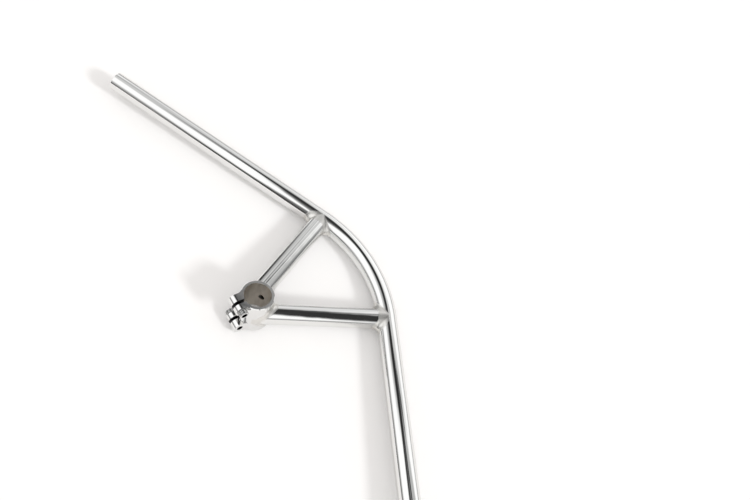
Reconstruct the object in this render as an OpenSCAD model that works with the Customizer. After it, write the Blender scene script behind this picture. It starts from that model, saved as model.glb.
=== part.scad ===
// Integrated handlebar and stem: a swept-back bar tube, two struts and a clamp for the fork's
// steerer tube, brazed into one frame. The tubes lie flat in the plane z = 0. The steerer
// axis is the z axis, the rider sits on the -y side, and +x is the rider's right.

/* [Bar] */
// Outside diameter of the bar, which takes standard grips and brake levers
bar_d = 22.2; // [20:0.1:25.4]
// Wall of the bar tube
bar_wall = 1.6; // [1:0.1:2.6]
// Radius of the bend in the middle, on the tube's centre line
bend_r = 162; // [140:1:200]
// Sweep: how far each arm turns back from straight across, in degrees
sweep = 25.75; // [21:0.25:29]
// Length of each straight arm, from the end of the bend to the tip
arm_l = 297; // [200:1:340]
// Reach: from the steerer axis forward to the middle of the bend
reach = 138; // [130:1:160]
// Chamfer on the cut ends of the bar
tip_chamfer = 0.4; // [0.2:0.1:0.8]

/* [Struts] */
// Outside diameter of the two struts
strut_d = 22.2; // [18:0.1:22.2]
// Wall of the strut tubes
strut_wall = 1.4; // [1:0.1:2.4]
// How far behind the steerer axis the two strut lines cross
strut_cross = 16; // [10:0.5:17]
// Diameter of the breathing hole from each strut into the bar
bar_vent_d = 6; // [4:0.5:6]

/* [Clamp] */
// Bore for the steerer tube
bore_d = 28.6; // [25.4:0.1:31.8]
// Wall of the clamp's collar
collar_wall = 3.3; // [2.5:0.1:5]
// Height of the clamp
clamp_h = 44; // [42:1:60]
// How far the clamp's top stands above the middle of the tubes
clamp_top = 25; // [22:0.5:30]
// Chamfer round the mouths of the bore
mouth_chamfer = 0.5; // [0.2:0.1:1]
// Bevel on the clamp's outer edges
edge_bevel = 0.7; // [0.2:0.1:1.2]
// Width of the slot that lets the clamp close
slot_w = 3; // [2:0.1:4]
// Diameter of each binder boss behind the collar
boss_d = 13.5; // [12.5:0.1:15]
// Width over the binder bosses, across the slot
boss_w = 20; // [18:0.5:24]
// Gap between the collar's outer face and the binder bolts' axes
boss_gap = 3.4; // [2.8:0.1:5]
// Radius of the hollow that runs from the collar into each boss
flare_r = 7; // [4:0.5:9]
// Diameter of the breathing hole from the bore into each strut
bore_vent_d = 7; // [3:0.5:8]
// Direction of the breathing holes, in degrees from straight ahead
bore_vent_turn = 34; // [31:0.5:36]

/* [Binder bolts] */
// Thread of the binder bolts
bolt_d = 6; // [5:0.5:6]
// Diameter of the bolts' cap heads
head_d = 10; // [8.5:0.1:10.5]
// Height of the cap heads
head_h = 6; // [5:0.1:6.5]
// Hexagon socket, across its flats
socket_af = 5; // [4:0.5:5]
// Depth of the hexagon socket
socket_depth = 3; // [2:0.1:3.5]
// How much shorter each ear is on the side of its bolt's head
seat_back = 2.8; // [1.5:0.1:3.5]
// Depth of the spot face that seats each head
spot_depth = 0.3; // [0.2:0.1:0.6]
// Free play round the shank, on each side
shank_play = 0.2; // [0.1:0.05:0.3]
// Free play round the head in its seat, on each side
head_play = 0.5; // [0.3:0.1:0.9]
// How far the bolt's end stays inside the far face of the boss
bolt_short = 1.5; // [0.5:0.1:3]

/* [Brazed fillets] */
// Radius of the hollow between a strut and the bar
bar_fillet_r = 7; // [3:0.5:8]
// Length of the fillet along the strut, at the clamp
clamp_fillet_l = 5; // [3:0.5:7]
// Length of the fillet round the collar
collar_fillet_l = 4; // [2:0.25:4]
// Thickness of the metal left at the edge of a fillet
fillet_edge = 0.15; // [0.12:0.01:0.3]

/* [Hidden] */
$fn = 96;
// Colours, as the photograph shows them
polished = "#c9cbcc";
satin = "#cfccc2";
bolt_steel = "#9b9c9a";
// Radii
bar_r = bar_d / 2;
strut_r = strut_d / 2;
collar_r = bore_d / 2 + collar_wall;
// The clamp's ends
clamp_bottom = clamp_top - clamp_h;
// Middle of the bend's circle, and the point where the bend ends on the right
bend_mid = [0, reach - bend_r];
joint = bend_mid + bend_r * [sin(sweep), cos(sweep)];
arm_dir = [cos(sweep), -sin(sweep)];
arm_back = [-sin(sweep), -cos(sweep)];
// The right strut: where its line starts, which way it runs, and its outer side
strut_from = [0, -strut_cross];
strut_dir = (joint - strut_from) / norm(joint - strut_from);
strut_side = [strut_dir[1], -strut_dir[0]];
strut_turn = atan2(strut_dir[0], strut_dir[1]);
// How far the strut's line passes beside the steerer axis, and where along it
strut_off = strut_from * strut_side;
strut_foot = -(strut_from * strut_dir);
strut_len = norm(joint - strut_from) - strut_foot;
// The binder bolts: two axes across the clamp, flush with its ends
bolt_y = -(collar_r + boss_gap);
upper_z = clamp_top - boss_d / 2;
lower_z = clamp_bottom + boss_d / 2;
seat_x = boss_w / 2 - seat_back;
shank_l = seat_x + boss_w / 2 - bolt_short;
// A bent tube draws down a little: how much thinner the wall is in the bend, on each face, and
// how far the arms' full wall runs into it
bend_draw = 0.1;
weld = 0.5;
// The breathing hole is drilled wholly in the bend
vent_shift = bar_vent_d / 2 + weld + 1;
// Width of the seam that the braze fills between a strut and the bar
seam = 0.05;
// The brazed fillets: air left under a facet, so that it never cuts its tube
air = 0.06;
bar_fillet_steps = 24;
clamp_fillet_steps = 48;
curve_steps = 8;
// The share of a bar fillet's half turn that it covers before its two sides meet
fillet_reach = 84;

function unit(v) = v / norm(v);
function flat(v) = [v[0], v[1]];
function mix(a, b, s) = a * (1 - s) + b * s;

// A cylinder lying in the tubes' plane, from a point, along a direction in degrees from +y
module lying_tube(from, turn, r, l) {
    translate([from[0], from[1], 0])
        rotate([0, 0, -turn])
            rotate([-90, 0, 0])
                cylinder(r = r, h = l);
}

// Carries a profile round the bend in the middle of the bar, to the given turn on each side
module along_bend(turn) {
    translate([0, bend_mid[1], 0])
        rotate([0, 0, 90 - turn])
            rotate_extrude(angle = 2 * turn, $fn = 360)
                translate([bend_r, 0])
                    children();
}

// The straight arm on the right, with both edges of its cut end chamfered
module bar_arm() {
    r_in = bar_r - bar_wall;
    translate([joint[0], joint[1], 0])
        rotate([0, 0, -90 - sweep])
            rotate([-90, 0, 0])
                rotate_extrude()
                    polygon([[r_in, -weld], [bar_r, -weld],
                        [bar_r, arm_l - tip_chamfer], [bar_r - tip_chamfer, arm_l],
                        [r_in + tip_chamfer / 2, arm_l], [r_in, arm_l - tip_chamfer / 2]]);
}

module handlebar_tube() {
    color(polished)
        difference() {
            union() {
                along_bend(sweep)
                    difference() {
                        circle(r = bar_r - bend_draw);
                        circle(r = bar_r - bar_wall + bend_draw);
                    }
                for (side = [0, 1])
                    mirror([side, 0, 0])
                        bar_arm();
            }
            for (side = [0, 1])
                mirror([side, 0, 0])
                    lying_tube(joint - vent_shift * arm_dir - 1.2 * bar_r * strut_dir, strut_turn,
                        bar_vent_d / 2, 1.2 * bar_r);
        }
}

// One strut, on the right: a tube mitred on the bar at one end and on the collar at the other
module strut_tube() {
    foot = strut_off * strut_side;
    difference() {
        lying_tube(foot, strut_turn, strut_r, strut_len);
        lying_tube(foot - strut_dir, strut_turn, strut_r - strut_wall, strut_len + 2);
        along_bend(sweep + 6)
            circle(r = bar_r + seam);
        translate([0, 0, clamp_bottom])
            cylinder(r = collar_r, h = clamp_h);
    }
}

module left_strut_tube() {
    color(polished)
        mirror([1, 0, 0])
            strut_tube();
}

module right_strut_tube() {
    color(polished)
        strut_tube();
}

// The ring of metal that a chamfer takes off a bore's mouth
module chamfer_cone(r_edge, size) {
    translate([0, 0, -size])
        cylinder(r1 = r_edge - size, r2 = r_edge + size, h = 2 * size);
}

// Plan of one ear, at +x: it leaves the collar in a hollow and ends at the given width
module ear_plan(w) {
    hollow_x = w + flare_r;
    hollow_y = -sqrt(pow(collar_r + flare_r, 2) - pow(hollow_x, 2));
    touch = collar_r / (collar_r + flare_r);
    ear_end = bolt_y - boss_d;
    difference() {
        polygon([[0, 0], [hollow_x * touch, hollow_y * touch], [hollow_x, hollow_y],
            [w, hollow_y], [w, ear_end], [0, ear_end]]);
        translate([hollow_x, hollow_y])
            circle(r = flare_r);
    }
}

// The two ears of one binder boss, with the shorter one at +x, under the bolt's head. From the
// side each is round about its bolt and runs forward into the collar.
module binder_boss(z) {
    intersection() {
        translate([0, 0, clamp_bottom])
            linear_extrude(clamp_h) {
                ear_plan(seat_x + spot_depth);
                mirror([1, 0, 0])
                    ear_plan(boss_w / 2);
            }
        translate([-boss_w, 0, z])
            rotate([90, 0, 90])
                linear_extrude(2 * boss_w) {
                    translate([bolt_y, 0])
                        circle(d = boss_d);
                    translate([bolt_y, -boss_d / 2])
                        square([-bolt_y, boss_d]);
                }
    }
}

// The bevelled outside of the collar
module collar_solid() {
    translate([0, 0, clamp_bottom])
        cylinder(r1 = collar_r - edge_bevel, r2 = collar_r, h = edge_bevel);
    translate([0, 0, clamp_bottom + edge_bevel])
        cylinder(r = collar_r, h = clamp_h - 2 * edge_bevel);
    translate([0, 0, clamp_top - edge_bevel])
        cylinder(r1 = collar_r, r2 = collar_r - edge_bevel, h = edge_bevel);
}

// Everything that one binder bolt needs: its threaded hole, its clearance hole and the spot face
// under its head, at +x
module bolt_cut(z) {
    translate([0, bolt_y, z])
        rotate([0, 90, 0]) {
            translate([0, 0, -boss_w])
                cylinder(d = bolt_d, h = 2 * boss_w);
            cylinder(d = bolt_d + 2 * shank_play, h = boss_w);
            translate([0, 0, seat_x])
                cylinder(d = head_d + 2 * head_play, h = boss_w);
        }
}

module steerer_clamp() {
    color(polished)
        difference() {
            union() {
                collar_solid();
                binder_boss(upper_z);
                mirror([1, 0, 0])
                    binder_boss(lower_z);
            }
            translate([0, 0, clamp_bottom - 1])
                cylinder(d = bore_d, h = clamp_h + 2);
            translate([0, 0, clamp_top])
                chamfer_cone(bore_d / 2, mouth_chamfer);
            translate([0, 0, clamp_bottom])
                mirror([0, 0, 1])
                    chamfer_cone(bore_d / 2, mouth_chamfer);
            translate([-slot_w / 2, bolt_y - boss_d, clamp_bottom - 1])
                cube([slot_w, boss_d - bolt_y, clamp_h + 2]);
            bolt_cut(upper_z);
            mirror([1, 0, 0])
                bolt_cut(lower_z);
            for (side = [-1, 1])
                lying_tube([0, 0], side * bore_vent_turn, bore_vent_d / 2, collar_r + 2);
        }
}

// A cap screw with its head at +x, the underside of the head on its seat
module cap_screw() {
    color(bolt_steel)
        rotate([0, 90, 0])
            difference() {
                union() {
                    translate([0, 0, seat_x - shank_l])
                        cylinder(r1 = bolt_d / 2 - 0.6, r2 = bolt_d / 2 - 0.05, h = 0.6);
                    translate([0, 0, seat_x - shank_l + 0.6])
                        cylinder(r = bolt_d / 2 - 0.05, h = shank_l - 0.6);
                    translate([0, 0, seat_x])
                        cylinder(d = head_d, h = head_h - 0.5);
                    translate([0, 0, seat_x + head_h - 0.5])
                        cylinder(d1 = head_d, d2 = head_d - 1, h = 0.5);
                }
                translate([0, 0, seat_x + head_h - socket_depth])
                    cylinder(d = socket_af / cos(30), h = socket_depth + 1, $fn = 6);
            }
}

module upper_pinch_bolt() {
    translate([0, bolt_y, upper_z])
        cap_screw();
}

module lower_pinch_bolt() {
    translate([0, bolt_y, lower_z])
        mirror([1, 0, 0])
            cap_screw();
}

// Brazed fillet between strut and bar: the shape that a ball leaves when it rolls in the corner.
// The ball's centre lies a from the strut's line and from the bar's, at the turn t out of the
// plane, on the outer side (g = 1) or the inner side (g = -1) of the strut.
function ball_flat(s, b, t, g) =
    let (u = g * s * cos(t), w = b * cos(t),
        v_arm = (u * (strut_side * arm_back) - w) / (strut_dir * arm_back),
        on_arm = joint + u * strut_side - v_arm * strut_dir,
        q = joint + u * strut_side - bend_mid,
        h = q * strut_dir,
        v_bend = h - sqrt(h * h - q * q + pow(bend_r - w, 2)))
    (on_arm - joint) * arm_dir > 0 ? on_arm : joint + u * strut_side - v_bend * strut_dir;

// Nearest point of the bar's centre line, and of the strut's
function on_bar(p) =
    (p - joint) * arm_dir > 0 ? joint + ((p - joint) * arm_dir) * arm_dir
        : bend_mid + bend_r * unit(p - bend_mid);
function on_strut(p) = strut_from + ((p - strut_from) * strut_dir) * strut_dir;
function lift(p, z) = [p[0], p[1], z];

function bar_fillet_ring(t, g) =
    let (ball = bar_fillet_r,
        s = strut_r + fillet_edge, b = bar_r + fillet_edge,
        c2 = ball_flat(s + ball, b + ball, t, g),
        c = lift(c2, (s + ball) * sin(t)),
        to_bar = unit(lift(on_bar(c2), 0) - lift(c2, (b + ball) * sin(t))),
        to_strut = unit(lift(on_strut(c2), 0) - c),
        angle = acos(min(1, to_bar * to_strut)),
        outer = [for (k = [0:curve_steps]) let (f = k / curve_steps)
            c + ball * (sin((1 - f) * angle) * to_bar + sin(f * angle) * to_strut) / sin(angle)],
        in2 = ball_flat(strut_r + air, bar_r + air, t, g),
        corner = lift(in2, (strut_r + air) * sin(t)),
        thin = fillet_edge - air,
        under_strut = outer[curve_steps] + thin * to_strut,
        under_bar = outer[0] + thin * to_bar)
    concat(outer, [under_strut, mix(under_strut, corner, 0.5), corner, mix(corner, under_bar, 0.5), under_bar]);

// Skin over a row of rings; a closed row joins its last ring to its first
module skin(rings, closed) {
    n = len(rings[0]);
    m = len(rings);
    bands = [for (i = [0:(closed ? m - 1 : m - 2)], j = [0:n - 1])
        let (a = i * n, b = ((i + 1) % m) * n, k = (j + 1) % n)
        each [[a + j, b + j, b + k], [a + j, b + k, a + k]]];
    caps = closed ? [] : [[for (j = [0:n - 1]) j], [for (j = [n - 1:-1:0]) (m - 1) * n + j]];
    polyhedron([for (ring = rings) each ring], concat(bands, caps), convexity = 6);
}

module bar_fillet() {
    step = 2 * fillet_reach / bar_fillet_steps;
    turns = [for (i = [0:bar_fillet_steps]) -fillet_reach + i * step];
    skin([for (t = turns) bar_fillet_ring(t, -1)], false);
    skin([for (t = turns) bar_fillet_ring(-t, 1)], false);
}

module left_bar_fillet() {
    color(satin)
        mirror([1, 0, 0])
            bar_fillet();
}

module right_bar_fillet() {
    color(satin)
        bar_fillet();
}

// Brazed fillet between strut and collar. A place near the collar is given as the distance
// round it, the height along it, and the height above it.
function unroll(p) = [collar_r * atan2(p[1], p[0]) * PI / 180, p[2], norm(flat(p)) - collar_r];
function roll(q) =
    let (a = q[0] / collar_r * 180 / PI, r = collar_r + q[2])
    [r * cos(a), r * sin(a), q[1]];

// The point on the strut's side at turn t, where it meets the collar, with both grown by grow
function root(t, grow, ahead = 0) =
    let (side = strut_off + (strut_r + grow) * cos(t),
        v = sqrt(max(0, pow(collar_r + grow, 2) - side * side)) + ahead)
    lift(side * strut_side + v * strut_dir, (strut_r + grow) * sin(t));

function clamp_fillet_ring(t) =
    let (top = unroll(root(t, fillet_edge, clamp_fillet_l)),
        mid = unroll(root(t, fillet_edge)),
        heart = unroll(lift(strut_off * strut_side
            + sqrt(pow(collar_r, 2) - pow(strut_off, 2)) * strut_dir, 0)),
        away = unit(flat(mid - heart)),
        toe = [mid[0] + collar_fillet_l * away[0], mid[1] + collar_fillet_l * away[1], fillet_edge],
        outer = [for (k = [0:curve_steps]) let (f = k / curve_steps)
            roll(mix(mix(top, mid, f), mix(mid, toe, f), f))],
        under_toe = [toe[0], toe[1], 2 * air],
        root_in = unroll(root(t, air)),
        foot_in = [root_in[0] + 0.3 * away[0], root_in[1] + 0.3 * away[1], 2 * air],
        under_top = root(t, air, clamp_fillet_l))
    concat(outer, [roll(under_toe), roll(mix(under_toe, foot_in, 0.33)), roll(mix(under_toe, foot_in, 0.67)),
        roll(foot_in), roll(root_in), mix(roll(root_in), under_top, 0.5), under_top]);

module clamp_fillet() {
    step = 360 / clamp_fillet_steps;
    skin([for (i = [0:clamp_fillet_steps - 1]) clamp_fillet_ring(-i * step)], true);
}

module left_clamp_fillet() {
    color(satin)
        mirror([1, 0, 0])
            clamp_fillet();
}

module right_clamp_fillet() {
    color(satin)
        clamp_fillet();
}

handlebar_tube();
left_strut_tube();
right_strut_tube();
steerer_clamp();
left_bar_fillet();
right_bar_fillet();
left_clamp_fillet();
right_clamp_fillet();
upper_pinch_bolt();
lower_pinch_bolt();
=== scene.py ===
"""Looks of the integrated handlebar stem: polished tubes and clamp, satin braze, steel bolts.

The sizes repeat those of the part's source, in metres. +Z runs up the steerer axis, +Y is
forward and +X is the rider's right. The tubes lie in the plane z = 0.
"""

import math

import bmesh
import bpy
from mathutils import Matrix, Vector


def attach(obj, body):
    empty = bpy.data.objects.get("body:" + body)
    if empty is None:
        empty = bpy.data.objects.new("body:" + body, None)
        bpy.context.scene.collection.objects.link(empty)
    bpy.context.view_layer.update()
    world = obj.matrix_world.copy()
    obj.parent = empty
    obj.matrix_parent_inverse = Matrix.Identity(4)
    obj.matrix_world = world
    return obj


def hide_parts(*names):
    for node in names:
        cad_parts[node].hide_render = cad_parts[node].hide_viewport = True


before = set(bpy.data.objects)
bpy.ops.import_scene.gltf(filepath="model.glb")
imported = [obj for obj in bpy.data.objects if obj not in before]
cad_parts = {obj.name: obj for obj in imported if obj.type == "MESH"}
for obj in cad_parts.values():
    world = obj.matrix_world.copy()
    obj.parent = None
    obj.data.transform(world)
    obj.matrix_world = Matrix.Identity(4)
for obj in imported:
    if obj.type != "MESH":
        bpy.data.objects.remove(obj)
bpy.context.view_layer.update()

# The bar
BAR_R = 0.0111
BAR_WALL = 0.0016
BEND_R = 0.162
SWEEP = math.radians(25.75)
ARM = 0.297
REACH = 0.138
TIP_CHAMFER = 0.0004
# The struts, whose middle lines cross behind the steerer axis, and the stub they are drawn from
STRUT_R = 0.0111
STRUT_WALL = 0.0014
STRUT_CROSS = 0.016
STRUT_STUB = 0.03
# The clamp
COLLAR_R = 0.0176
BORE_R = 0.0143
CLAMP_MID = 0.003
CLAMP_HALF = 0.022
SLOT_HALF = 0.0015
# The pinch bolts, as far above the clamp's middle as below it
BOLT_Y = -0.021
BOLT_OFF_MID = 0.01525
THREAD_R = 0.003
SOCKET_R = 0.0029
HEAD_R = 0.005
KNURLS = 26
# The brazed fillets, which stand clear of the tubes by a skin
BAR_FILLET_R = 0.007
CLAMP_FILLET = 0.005
COLLAR_FILLET = 0.004
SKIN = 0.00003
# How fine the meshes are
TUBE_SIDES = 96
BEND_STEPS = 60
FILLET_TURNS = 48
FILLET_SKIN = 16
MERGE = 1e-6
CORNER = math.radians(32)
FILLET_CORNER = math.radians(50)
CLAMP_ROUND = 0.0006
BOLT_ROUND = 0.0002

# The right arm's and the right strut's directions and places in the tubes' plane
UP = Vector((0, 0, 1))
BEND_MID = Vector((0, REACH - BEND_R, 0))
JOINT = BEND_MID + BEND_R * Vector((math.sin(SWEEP), math.cos(SWEEP), 0))
ARM_DIR = Vector((math.cos(SWEEP), -math.sin(SWEEP), 0))
ARM_BACK = Vector((-math.sin(SWEEP), -math.cos(SWEEP), 0))
STRUT_FROM = Vector((0, -STRUT_CROSS, 0))
STRUT_DIR = (JOINT - STRUT_FROM).normalized()
STRUT_SIDE = Vector((STRUT_DIR.y, -STRUT_DIR.x, 0))
STRUT_OFF = STRUT_FROM.dot(STRUT_SIDE)
STRUT_FOOT = STRUT_OFF * STRUT_SIDE
MIRROR_X = Matrix.Diagonal((-1, 1, 1, 1))


# Shader maths

class Wire:
    """A socket of a node tree. Arithmetic on it adds Math nodes, and node() adds any other."""

    def __init__(self, tree, socket=None):
        self.tree = tree
        self.socket = socket

    def node(self, kind, inputs=None, output=0, **settings):
        made = self.tree.nodes.new(kind)
        for name, value in settings.items():
            setattr(made, name, value)
        for name, value in (inputs or {}).items():
            if isinstance(value, Wire):
                self.tree.links.new(value.socket, made.inputs[name])
            else:
                made.inputs[name].default_value = value
        return Wire(self.tree, made.outputs[output])

    def maths(self, operation, *terms):
        return self.node("ShaderNodeMath", dict(enumerate(terms)), operation=operation)

    def __add__(self, other):
        return self.maths("ADD", self, other)

    def __radd__(self, other):
        return self.maths("ADD", other, self)

    def __sub__(self, other):
        return self.maths("SUBTRACT", self, other)

    def __rsub__(self, other):
        return self.maths("SUBTRACT", other, self)

    def __mul__(self, other):
        return self.maths("MULTIPLY", self, other)

    def __rmul__(self, other):
        return self.maths("MULTIPLY", other, self)

    def __truediv__(self, other):
        return self.maths("DIVIDE", self, other)

    def __pow__(self, other):
        return self.maths("POWER", self, other)

    def __abs__(self):
        return self.maths("ABSOLUTE", self)

    def larger(self, other):
        return self.maths("MAXIMUM", self, other)

    def rise(self, low, high):
        """0 at low and 1 at high, eased between them; low may be the larger of the two."""
        return self.node("ShaderNodeMapRange", {"Value": self, "From Min": low, "From Max": high},
                         interpolation_type="SMOOTHSTEP")

    def within(self, limit, fade):
        """1 up to the limit, and 0 from the fade's width beyond it."""
        return self.rise(limit + fade, limit)

    def axes(self):
        return [self.node("ShaderNodeSeparateXYZ", {0: self}, output=index) for index in range(3)]

    def noise(self, scale, detail=2):
        return self.node("ShaderNodeTexNoise", {"Vector": self, "Scale": scale, "Detail": detail})

    def stretched(self, scale):
        return self.node("ShaderNodeMapping", {"Vector": self, "Scale": scale})

    def blend(self, first, second):
        """The colour between two that this wire's value gives."""
        return self.node("ShaderNodeMix", {"Factor": self, 6: first, 7: second}, output=2,
                         data_type="RGBA")


def length(x, y, z=0):
    return (x * x + y * y + z * z) ** 0.5


class Finish:
    """A finish: its material, its shader and the place on the surface. It starts as metal."""

    def __init__(self, name, base, roughness):
        self.material = bpy.data.materials.new(name)
        self.material.use_nodes = True
        tree = self.material.node_tree
        self.shader = next(n for n in tree.nodes if n.type == "BSDF_PRINCIPLED")
        self.set("Base Color", base)
        self.set("Roughness", roughness)
        self.set("Metallic", 1)
        self.place = Wire(tree).node("ShaderNodeTexCoord", output="Object")

    def set(self, socket, value):
        self.shader.inputs[socket].default_value = value

    def feed(self, socket, wire):
        wire.tree.links.new(wire.socket, self.shader.inputs[socket])

    def bump(self, height, distance):
        self.feed("Normal", height.node("ShaderNodeBump", {"Height": height, "Distance": distance}))


# Finishes

CHROME = (0.9, 0.9, 0.89, 1)
SATIN = (0.84, 0.83, 0.8, 1)
# What sanding adds to the roughness, and what its grain adds to that and to the surface's waves
SANDED_ROUGH = 0.24
GRAIN_ROUGH = 0.1
GRAIN_SCALE = 2400
GRAIN_HEIGHT = 0.12
WAVE_SCALE = 45
WAVE_DEPTH = 0.00012

# How far the sanding of the brazed joints reaches: on the bar round a middle, on a strut from its
# end by the bar and from the steerer axis, and on the collar from the strut's line
SANDED_HEART = JOINT + 0.003 * ARM_DIR - 0.0115 * STRUT_DIR
SANDED_BAR = 0.015
SANDED_END = 0.0152
SANDED_ROOT = 0.0228
SANDED_COLLAR = 0.0148
SANDED_FADE = 0.0016
COLLAR_FADE = 0.002
# How much the sanding's edge leans across a strut, at its end and at its root
END_LEAN = 0.4
ROOT_LEAN = 0.35


def ragged(place):
    """A small uneven length, for the sanding's edge."""
    return (place.noise(180) - 0.5) * 0.002


def beside_strut(x, y):
    """How far a place lies outwards from the middle line of the strut on its side."""
    return abs(x) * STRUT_SIDE.x + y * STRUT_SIDE.y - STRUT_OFF


def off_bolt(y, z):
    """How far a place lies ahead of the nearer pinch bolt's axis, and beyond it from the middle."""
    return y - BOLT_Y, abs(z - CLAMP_MID) - BOLT_OFF_MID


def satin_by_bar(place):
    """1 where the sanding of the brazed joints reaches on the bar."""
    x, y, z = place.axes()
    edge = length(abs(x) - SANDED_HEART.x, y - SANDED_HEART.y, z) + ragged(place)
    return edge.within(SANDED_BAR, SANDED_FADE)


def satin_on_strut(place):
    """1 where the sanding of the brazed joints reaches on the struts, at either end."""
    x, y, z = place.axes()
    along = abs(x) * STRUT_DIR.x + y * STRUT_DIR.y
    uneven = ragged(place)
    behind = JOINT.dot(STRUT_DIR) - along + abs(z) * END_LEAN + uneven
    out = length(x, y) + beside_strut(x, y).larger(0) * ROOT_LEAN + uneven
    return behind.within(SANDED_END, SANDED_FADE).larger(out.within(SANDED_ROOT, SANDED_FADE))


def satin_on_collar(place):
    """1 where the sanding of the brazed joints reaches on the front of the clamp's collar."""
    x, y, z = place.axes()
    edge = length(beside_strut(x, y), z) + ragged(place)
    return edge.within(SANDED_COLLAR, COLLAR_FADE) * y.rise(-COLLAR_FADE, COLLAR_FADE)


def polish(finish, satin):
    """A mirror finish with faint waves and smears, and satin where the mask says so."""
    smear = finish.place.noise(30, 4).rise(0.45, 0.75)
    grain = finish.place.noise(GRAIN_SCALE, 3)
    sanded = satin * (SANDED_ROUGH + grain * GRAIN_ROUGH)
    finish.feed("Roughness", 0.045 + smear * 0.025 + sanded)
    finish.feed("Base Color", satin.blend(CHROME, SATIN))
    finish.bump(finish.place.noise(WAVE_SCALE, 1) + satin * grain * GRAIN_HEIGHT, WAVE_DEPTH)


def polished_bar():
    finish = Finish("polished_bar", CHROME, 0.05)
    polish(finish, satin_by_bar(finish.place))
    return finish.material


def polished_strut():
    finish = Finish("polished_strut", CHROME, 0.05)
    polish(finish, satin_on_strut(finish.place))
    return finish.material


def polished_clamp():
    """The polished clamp, with its reamed bore left dull, and painted shade in its slot and
    threaded holes.
    """
    finish = Finish("polished_clamp", CHROME, 0.06)
    x, y, z = finish.place.axes()
    bore = length(x, y).within(BORE_R + 0.0001, 0.0001)
    bore = bore * y.rise(0.0002 - BORE_R, 0.0005 - BORE_R)
    bore = bore * abs(z - CLAMP_MID).within(CLAMP_HALF - 0.0008, 0.0002)
    # Painted shade: the slot's walls and the threaded holes in the ears are coloured near black
    # where they lie in shade
    slot = abs(x).within(SLOT_HALF + 0.0002, 0.0001)
    thread = length(*off_bolt(y, z)).within(THREAD_R + 0.0001, 0.0002)
    painted_shade = slot.larger(thread) * y.rise(-BORE_R, -BORE_R - 0.0003)
    satin = satin_on_collar(finish.place) * (1 - bore)

    grain = finish.place.noise(GRAIN_SCALE, 3)
    rings = finish.place.stretched((1, 1, 90)).noise(60, 2)
    sanded = satin * (SANDED_ROUGH + grain * GRAIN_ROUGH)
    finish.feed("Roughness", 0.06 + sanded + bore * (0.18 + rings * 0.16) + painted_shade * 0.3)

    outside = satin.blend(CHROME, SATIN)
    # The near black of the painted shade in the slot and the threaded holes
    outside = painted_shade.blend(outside, (0.05, 0.05, 0.055, 1))
    clouds = finish.place.stretched((1, 1, 0.35)).noise(95, 2).rise(0.38, 0.62)
    reamed = clouds.blend((0.78, 0.74, 0.68, 1), (0.97, 0.92, 0.85, 1))
    finish.feed("Base Color", bore.blend(outside, reamed))

    waves = finish.place.noise(WAVE_SCALE, 1)
    finish.bump(waves + bore * rings * 0.3 + satin * grain * GRAIN_HEIGHT, WAVE_DEPTH)
    return finish.material


def satin_braze():
    """Braze that was filed and sanded, and not polished."""
    finish = Finish("satin_braze", SATIN, 0.3)
    file_marks = finish.place.noise(900, 4)
    patches = finish.place.noise(160, 2)
    finish.feed("Roughness", 0.24 + patches * 0.1 + file_marks * 0.06)
    bright = (0.86, 0.85, 0.82, 1)
    dull = (0.8, 0.785, 0.75, 1)
    finish.feed("Base Color", patches.rise(0.3, 0.7).blend(bright, dull))
    finish.bump(file_marks + patches * 2, 0.00006)
    return finish.material


def bolt_metal():
    """Bright plated steel, a little cloudy, knurled round the heads with painted shade in the
    knurl's grooves, and near-black painted shade in the sockets and along the shanks.
    """
    finish = Finish("bolt_metal", (0.8, 0.8, 0.79, 1), 0.1)
    cloud = finish.place.noise(700, 3)
    finish.feed("Roughness", 0.07 + cloud * 0.08)
    x, y, z = finish.place.axes()
    ahead, beyond = off_bolt(y, z)
    from_axis = length(ahead, beyond)
    # Painted shade: near black in the hex sockets, along the shanks and at the bolts' tips, which
    # lie in shade
    shank_and_socket_shade = from_axis.within(SOCKET_R + 0.0003, 0.0002)
    # The knurl round each head: its grooves are bumped, and also coloured near black as painted
    # shade
    stripes = y.maths("SINE", y.maths("ARCTAN2", ahead, beyond) * KNURLS).rise(-0.5, 0.5)
    knurl_and_groove_shade = stripes * from_axis.rise(HEAD_R - 0.0003, HEAD_R - 0.00015)
    plate = cloud.rise(0.3, 0.7).blend((0.84, 0.84, 0.83, 1), (0.7, 0.7, 0.69, 1))
    # Painted shade: the knurl's grooves are coloured near black
    plate = knurl_and_groove_shade.blend(plate, (0.06, 0.06, 0.06, 1))
    # The near black of the painted shade in the sockets and on the shanks
    finish.feed("Base Color", shank_and_socket_shade.blend(plate, (0.04, 0.04, 0.045, 1)))
    finish.bump(cloud * 0.1 - knurl_and_groove_shade, 0.0003)
    return finish.material


def tube_inside():
    """The raw inside of a tube, grey and a little scaly."""
    finish = Finish("tube_inside", (0.25, 0.24, 0.23, 1), 0.55)
    scale = finish.place.noise(350, 4)
    finish.feed("Roughness", 0.45 + scale * 0.25)
    light = (0.3, 0.29, 0.28, 1)
    deep = (0.19, 0.18, 0.17, 1)
    finish.feed("Base Color", scale.rise(0.35, 0.65).blend(light, deep))
    return finish.material


# Meshes

def smooth(bm, corner=CORNER):
    """Smooth faces, with every edge sharp that turns by more than the corner."""
    for face in bm.faces:
        face.smooth = True
    for edge in bm.edges:
        edge.smooth = edge.calc_face_angle(math.pi) < corner


def stand(name, bm, *materials):
    """Makes a finished bmesh an object of the scene."""
    mesh = bpy.data.meshes.new(name)
    bm.to_mesh(mesh)
    bm.free()
    for material in materials:
        mesh.materials.append(material)
    made = bpy.data.objects.new(name, mesh)
    bpy.context.scene.collection.objects.link(made)
    return made


def keep(name, bm, node, slot, *materials):
    """Makes a finished bmesh a piece that stands for a node."""
    made = stand(name, bm, *materials)
    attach(made, "root")
    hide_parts(node)
    return made


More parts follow.
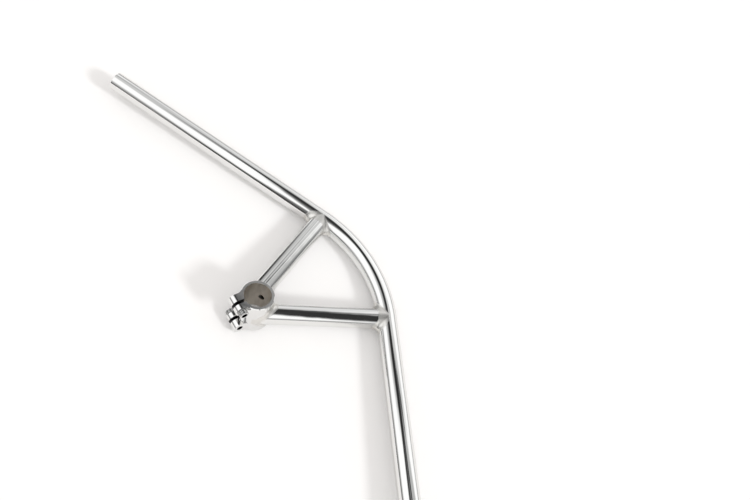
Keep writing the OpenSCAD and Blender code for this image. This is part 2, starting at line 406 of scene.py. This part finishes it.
def keep_pair(name, bm, slot, *materials):
    """Makes a finished bmesh the piece on the right, and its mirror image the one on the left."""
    left = bm.copy()
    bmesh.ops.transform(left, verts=left.verts, matrix=MIRROR_X)
    bmesh.ops.reverse_faces(left, faces=left.faces)
    keep("right_" + name + "_finish", bm, "right_" + name, slot, *materials)
    keep("left_" + name + "_finish", left, "left_" + name, slot, *materials)


# The tubes

def start_ring(bm, radius, point, along):
    """A ring of edges round a point, square to a direction in the tubes' plane."""
    ring = bmesh.ops.create_circle(bm, segments=TUBE_SIDES, radius=radius)["verts"]
    turn = Matrix((UP.cross(along), UP, along)).transposed().to_4x4()
    bmesh.ops.transform(bm, verts=ring, matrix=Matrix.Translation(point) @ turn)
    return list({edge for vert in ring for edge in vert.link_edges})


def draw_out(bm, edges, shift):
    """Draws a ring of edges out into a wall, and returns the ring at its new end."""
    made = bmesh.ops.extrude_edge_only(bm, edges=edges)["geom"]
    bmesh.ops.translate(bm, verts=[v for v in made if isinstance(v, bmesh.types.BMVert)], vec=shift)
    return [e for e in made if isinstance(e, bmesh.types.BMEdge) and e.is_boundary]


def join_walls(bm, outer_wall, starts, ends):
    """Closes the ends between a tube's two walls. The inner one gets the second material."""
    for face in set(bm.faces) - outer_wall:
        face.material_index = 1
    for rims in (starts, ends):
        bmesh.ops.bridge_loops(bm, edges=rims)


def make_handlebar(skin, inside):
    """The bar, drawn from the left tip along the arm, round the bend and along the right arm."""
    bm = bmesh.new()
    inward = Vector((ARM_DIR.x, -ARM_DIR.y, 0))
    left_tip = MIRROR_X @ (JOINT + ARM * ARM_DIR)
    starts = []
    ends = []
    for radius in (BAR_R, BAR_R - BAR_WALL):
        before = set(bm.faces)
        ring = start_ring(bm, radius, left_tip, inward)
        starts += ring
        ring = draw_out(bm, ring, ARM * inward)
        bend = bmesh.ops.spin(bm, geom=ring, cent=BEND_MID, axis=UP, angle=-2 * SWEEP,
                              steps=BEND_STEPS)
        ring = [e for e in bend["geom_last"] if isinstance(e, bmesh.types.BMEdge)]
        ends += draw_out(bm, ring, ARM * ARM_DIR)
    join_walls(bm, before, starts, ends)
    bmesh.ops.remove_doubles(bm, verts=bm.verts, dist=MERGE)
    bmesh.ops.recalc_face_normals(bm, faces=bm.faces)
    square = [e for e in bm.edges if e.calc_face_angle(0) > 2 * CORNER]
    bmesh.ops.bevel(bm, geom=square, offset=TIP_CHAMFER, offset_type="OFFSET", segments=3,
                    profile=0.5, affect="EDGES", material=-1)
    smooth(bm)
    keep("handlebar_finish", bm, "handlebar_tube", "polished_chrome", skin, inside)


def meet_bar(side, gap):
    """The point in the tubes' plane at a side of the strut's line and a gap behind the bar's."""
    start = JOINT + side * STRUT_SIDE
    on_arm = start - (side * STRUT_SIDE.dot(ARM_BACK) - gap) / STRUT_DIR.dot(ARM_BACK) * STRUT_DIR
    if (on_arm - JOINT).dot(ARM_DIR) > 0:
        return on_arm
    from_mid = start - BEND_MID
    along = from_mid.dot(STRUT_DIR)
    short = math.sqrt(along ** 2 - from_mid.length_squared + (BEND_R - gap) ** 2)
    return start - (along - short) * STRUT_DIR


def make_struts(skin, inside):
    """The struts, drawn as a stub of tube whose ends are then carried to the collar and the bar."""
    bm = bmesh.new()
    starts = []
    ends = []
    for radius in (STRUT_R, STRUT_R - STRUT_WALL):
        before = set(bm.faces)
        start = start_ring(bm, radius, STRUT_FOOT, STRUT_DIR)
        end = draw_out(bm, start, STRUT_STUB * STRUT_DIR)
        starts += start
        ends += end
        for vert in {v for e in start for v in e.verts}:
            out = vert.co.dot(STRUT_SIDE)
            vert.co += math.sqrt(max(0, COLLAR_R ** 2 - out ** 2)) * STRUT_DIR
        for vert in {v for e in end for v in e.verts}:
            height = vert.co.z
            gap = math.sqrt(max(0, BAR_R ** 2 - height ** 2))
            vert.co = meet_bar(vert.co.dot(STRUT_SIDE) - STRUT_OFF, gap) + height * UP
    join_walls(bm, before, starts, ends)
    bmesh.ops.recalc_face_normals(bm, faces=bm.faces)
    smooth(bm)
    keep_pair("strut_tube", bm, "polished_chrome", skin, inside)


# The brazed fillets. The turn goes round the strut. The way goes round the fillet's skin: 0 to 1
# lies on its outer face, and 1 to 2 runs back through its hidden corner.

def shaped_grid(bm, turns, place):
    """A grid of turns and ways, carried to its places."""
    grid = bmesh.ops.create_grid(bm, x_segments=FILLET_TURNS, y_segments=FILLET_SKIN, size=1)
    half = FILLET_SKIN / 2
    for vert in grid["verts"]:
        turn = turns[0] + (turns[1] - turns[0]) * (vert.co.x + 1) / 2
        vert.co = place(turn, round(half * (vert.co.y + 1)) / half)


def close_skin(bm):
    """Joins the grid's edges, and fills what is left open."""
    bmesh.ops.remove_doubles(bm, verts=bm.verts, dist=MERGE)
    bmesh.ops.holes_fill(bm, edges=[e for e in bm.edges if e.is_boundary])
    bmesh.ops.recalc_face_normals(bm, faces=bm.faces)
    smooth(bm, FILLET_CORNER)


def way_back(start, corner, end, way):
    """A place on the two straight lines from start through corner to end, for a way of 1 to 2."""
    if way <= 1.5:
        return start.lerp(corner, 2 * way - 2)
    return corner.lerp(end, 2 * way - 3)


def on_bar(point):
    """The nearest point on the bar's middle line."""
    if (point - JOINT).dot(ARM_DIR) > 0:
        return JOINT + (point - JOINT).dot(ARM_DIR) * ARM_DIR
    return BEND_MID + BEND_R * (point - BEND_MID).normalized()


def beside_both(reach, turn):
    """The place as far from the strut's middle line as from the bar's, at a turn."""
    side = reach * math.cos(turn)
    return meet_bar(side, abs(side)) + reach * math.sin(turn) * UP


def bar_fillet_point(turn, way):
    """A place on the fillet that a ball leaves when it rolls between the bar and the strut."""
    ball = beside_both(STRUT_R + SKIN + BAR_FILLET_R, turn)
    flat = Vector((ball.x, ball.y, 0))
    on_strut = STRUT_FROM + (flat - STRUT_FROM).dot(STRUT_DIR) * STRUT_DIR
    to_bar = (on_bar(flat) - ball).normalized()
    to_strut = (on_strut - ball).normalized()
    if way <= 1:
        return ball + BAR_FILLET_R * to_bar.slerp(to_strut, way)
    return way_back(ball + BAR_FILLET_R * to_strut, beside_both(STRUT_R, turn),
                    ball + BAR_FILLET_R * to_bar, way)


def make_bar_fillets(skin):
    """The fillets on a strut's two sides, which stop just short of meeting above and below it."""
    bm = bmesh.new()
    half = math.radians(88)
    for middle in (0, math.pi):
        shaped_grid(bm, (middle - half, middle + half), bar_fillet_point)
    close_skin(bm)
    keep_pair("bar_fillet", bm, "satin_chrome", skin)


def unroll(point):
    """A place near the collar as the distance round it, the height, and how far it stands off."""
    flat = math.hypot(point.x, point.y)
    return Vector((COLLAR_R * math.atan2(point.y, point.x), point.z, flat - COLLAR_R))


def roll(point):
    """The place that unroll() laid out, back on the collar."""
    angle = point.x / COLLAR_R
    flat = COLLAR_R + point.z
    return Vector((flat * math.cos(angle), flat * math.sin(angle), point.y))


def strut_root(turn, ahead=0):
    """Where the strut's side meets the collar, or a length ahead of that."""
    reach = STRUT_R + SKIN
    out = STRUT_OFF + reach * math.cos(turn)
    along = math.sqrt(max(0, (COLLAR_R + SKIN) ** 2 - out ** 2)) + ahead
    return out * STRUT_SIDE + along * STRUT_DIR + reach * math.sin(turn) * UP


def clamp_fillet_point(turn, way):
    """A place on the hollow fillet that runs from the strut down to the collar."""
    top = unroll(strut_root(turn, CLAMP_FILLET))
    middle = unroll(strut_root(turn))
    heart = unroll(STRUT_FOOT + math.sqrt(COLLAR_R ** 2 - STRUT_OFF ** 2) * STRUT_DIR)
    away = (middle - heart).xy.normalized().to_3d() * COLLAR_FILLET
    toe = Vector((middle.x, middle.y, SKIN)) + away
    if way <= 1:
        return roll(top.lerp(middle, way).lerp(middle.lerp(toe, way), way))
    return roll(way_back(toe, middle, top, way))


def make_clamp_fillets(skin):
    bm = bmesh.new()
    shaped_grid(bm, (-math.pi, math.pi), clamp_fillet_point)
    close_skin(bm)
    keep_pair("clamp_fillet", bm, "satin_chrome", skin)


# The clamp and the bolts

def make_refined(node, slot, edge_round, skin):
    """A copy of a node with its triangles joined, smooth faces and finely rounded edges."""
    bm = bmesh.new()
    bm.from_mesh(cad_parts[node].data)
    bmesh.ops.remove_doubles(bm, verts=bm.verts, dist=MERGE)
    bmesh.ops.dissolve_limit(bm, angle_limit=math.radians(0.5), verts=bm.verts, edges=bm.edges)
    smooth(bm)
    made = keep(node + "_finish", bm, node, slot, skin)
    rounded = made.modifiers.new("edges", "BEVEL")
    rounded.width = edge_round
    rounded.segments = 2
    rounded.limit_method = "ANGLE"
    rounded.angle_limit = CORNER
    rounded.harden_normals = True


# The studio: the camera, the floor, the lamps and what the metal mirrors

CAMERA_AT = Vector((0.3801, -0.3123, 0.8189))
CAMERA_FORWARD = Vector((-0.3828, 0.4595, -0.8014)).normalized()
CAMERA_UP = Vector((-0.7684, 0.3232, 0.5524))
FILM_MM = 36
LENS_MM = 43.83

# The floor passes below the two lowest places, the front of the collar and the middle of the bend
REST_COLLAR = Vector((0, 0.0169, -0.0191))
REST_BEND = Vector((0, 0.13877, -0.0111))
FLOOR_HALF = 6
# Light that only the camera sees, which turns the lit paper white
FLOOR_GLOW = 0.12

# Each lamp's strength, its width in degrees and the way that it shines
LAMPS = {
    "soft_lamp": (1.2, 9, (-1.45, -0.42, -1)),
    "broad_lamp": (0.45, 80, (-1.2, -0.35, -1.1)),
}

# What the polished metal sees: soft panels over the whole sky, which is laid out flat with the
# zenith at 0, 0 and the horizon at 90. Each one has its place east and north, its half length
# and half width, its turn, its softness and its level.
PANELS = [
    (-5.5, 25, 7.8, 16.1, 41, 0.1, 0.14),
    (4, -83, 30, 6, 3, 0.6, 0.62),
    (16, -58.6, 11, 55, -3, 0.42, 0.4),
    (-39.5, 12.8, 15, 32.1, 16, 0.2, 0.78),
    (-65.5, 43, 42.3, 16.4, -14, 0.46, 0.86),
    (-100.4, -8.6, 43.2, 12.4, 19, 0.53, 0.14),
    (47.5, 49.1, 23.6, 25.9, -19, 0.21, 0.57),
    (-71.4, -49.6, 15.4, 45.3, 38, 0.6, 0.78),
    (34.3, 30.1, 51.6, 25.3, 29, 0.15, 0.7),
    (-9.9, -102.1, 33.1, 22.2, -40, 0.9, 0.31),
    (-9.1, 37.3, 16.6, 5.5, 50, 0.51, 0.79),
    (-6.9, -9.4, 33.7, 7.6, -56, 0.45, 0.14),
    (21.7, 2.3, 43.3, 6.2, -19, 0.34, 0.21),
    (-23.6, 8, 13, 8.7, 67, 0.9, 0.4),
    (-30, 9, 11, 5.5, 62, 0.5, 0.52),
    (-19.5, 9.5, 12.5, 8.5, 58, 0.27, 0.19),
    (-69.7, -58.1, 15.3, 6.2, -40, 0.21, 0.99),
    (50.7, 67.4, 15.4, 10.6, -53, 0.11, 0.63),
    (-32.2, -71.1, 34.4, 5.1, -36, 0.1, 0.85),
    (12, -20, 21.1, 12, -32, 0.9, 0.81),
]
# The sky's level where it has no panel. It darkens by a share towards the horizon, between two
# zenith angles, each in degrees and divided by its own sine.
BARE_SKY = 1
HORIZON_FROM = 73
HORIZON_TO = 86
HORIZON_SHADE = 0.4
# A level is a grey as it is seen, and this makes it a strength
LEVEL_CURVE = 2.2
LEVEL_GAIN = 1.12
# The even, faintly warm light on all that isn't a mirror
EVEN_LIGHT = 0.68
WARM = (1, 0.965, 0.94, 1)
WHITE = (1, 1, 1, 1)


def make_camera():
    data = bpy.data.cameras.new("camera")
    data.sensor_width = FILM_MM
    data.lens = LENS_MM
    data.clip_start = 0.01
    data.clip_end = 50
    camera = bpy.data.objects.new("camera", data)
    right = CAMERA_FORWARD.cross(CAMERA_UP).normalized()
    up = right.cross(CAMERA_FORWARD)
    turn = Matrix((right, up, -CAMERA_FORWARD)).transposed().to_4x4()
    camera.matrix_world = Matrix.Translation(CAMERA_AT) @ turn
    bpy.context.scene.collection.objects.link(camera)
    bpy.context.scene.camera = camera


def make_floor():
    """White paper that keeps the shadows, a little tilted so that the part rests on it."""
    forward = (REST_BEND - REST_COLLAR).normalized()
    right = Vector((1, 0, 0))
    turn = Matrix((right, forward, right.cross(forward))).transposed().to_4x4()
    bm = bmesh.new()
    bmesh.ops.create_grid(bm, x_segments=2, y_segments=2, size=FLOOR_HALF)
    bmesh.ops.transform(bm, verts=bm.verts, matrix=Matrix.Translation(REST_COLLAR) @ turn)
    paper = Finish("floor_paper", (0.96, 0.96, 0.96, 1), 0.9)
    paper.set("Metallic", 0)
    paper.set("Specular IOR Level", 0)
    paper.set("Emission Strength", 1)
    seen = paper.place.node("ShaderNodeLightPath", output="Is Camera Ray")
    paper.feed("Emission Color", seen * FLOOR_GLOW)
    floor = stand("studio_floor", bm, paper.material)


def make_lamps():
    """A small and a broad soft lamp from the right, which the metal doesn't mirror."""
    for name, (energy, angle, shine) in LAMPS.items():
        data = bpy.data.lights.new(name, "SUN")
        data.energy = energy
        data.angle = math.radians(angle)
        lamp = bpy.data.objects.new(name, data)
        lamp.rotation_mode = "QUATERNION"
        lamp.rotation_quaternion = Vector(shine).to_track_quat("-Z", "Y")
        lamp.visible_glossy = False
        bpy.context.scene.collection.objects.link(lamp)


def make_world():
    """The sky: white for the camera, panels for the mirrors, and even light for the rest."""
    world = bpy.data.worlds.new("studio")
    bpy.context.scene.world = world
    world.use_nodes = True
    tree = world.node_tree
    x, y, z = Wire(tree).node("ShaderNodeTexCoord", output="Generated").axes()
    zenith_angle = z.maths("ARCCOSINE", z) * math.degrees(1)
    spread = zenith_angle / length(x, y)
    east = spread * x
    north = spread * y
    level = BARE_SKY
    for at_east, at_north, long, wide, turn, soft, value in PANELS:
        c, s = math.cos(math.radians(turn)), math.sin(math.radians(turn))
        along = (east - at_east) * (c / long) + (north - at_north) * (s / long)
        across = (north - at_north) * (c / wide) - (east - at_east) * (s / wide)
        mask = length(along, across).rise(1 + soft, 1 - soft)
        level = level + mask * (value - level)
    level = level * (1 - spread.rise(HORIZON_FROM, HORIZON_TO) * HORIZON_SHADE)
    mirrored = level ** LEVEL_CURVE * LEVEL_GAIN
    camera = z.node("ShaderNodeLightPath", output="Is Camera Ray")
    glossy = z.node("ShaderNodeLightPath", output="Is Glossy Ray")
    unseen = EVEN_LIGHT + glossy * (mirrored - EVEN_LIGHT)
    strength = unseen + camera * (1 - unseen)
    colour = (glossy + camera).blend(WARM, WHITE)
    background = next(n for n in tree.nodes if n.type == "BACKGROUND")
    tree.links.new(colour.socket, background.inputs["Color"])
    tree.links.new(strength.socket, background.inputs["Strength"])


make_camera()
make_floor()
make_lamps()
make_world()

strut_skin = polished_strut()
clamp_skin = polished_clamp()
braze = satin_braze()
raw = tube_inside()
steel = bolt_metal()
make_handlebar(polished_bar(), raw)
make_struts(strut_skin, raw)
make_bar_fillets(braze)
make_clamp_fillets(braze)
make_refined("steerer_clamp", "polished_chrome", CLAMP_ROUND, clamp_skin)
make_refined("upper_pinch_bolt", "bolt_steel", BOLT_ROUND, steel)
make_refined("lower_pinch_bolt", "bolt_steel", BOLT_ROUND, steel)

scene = bpy.context.scene
scene.view_settings.view_transform = "Standard"
bpy.context.view_layer.update()
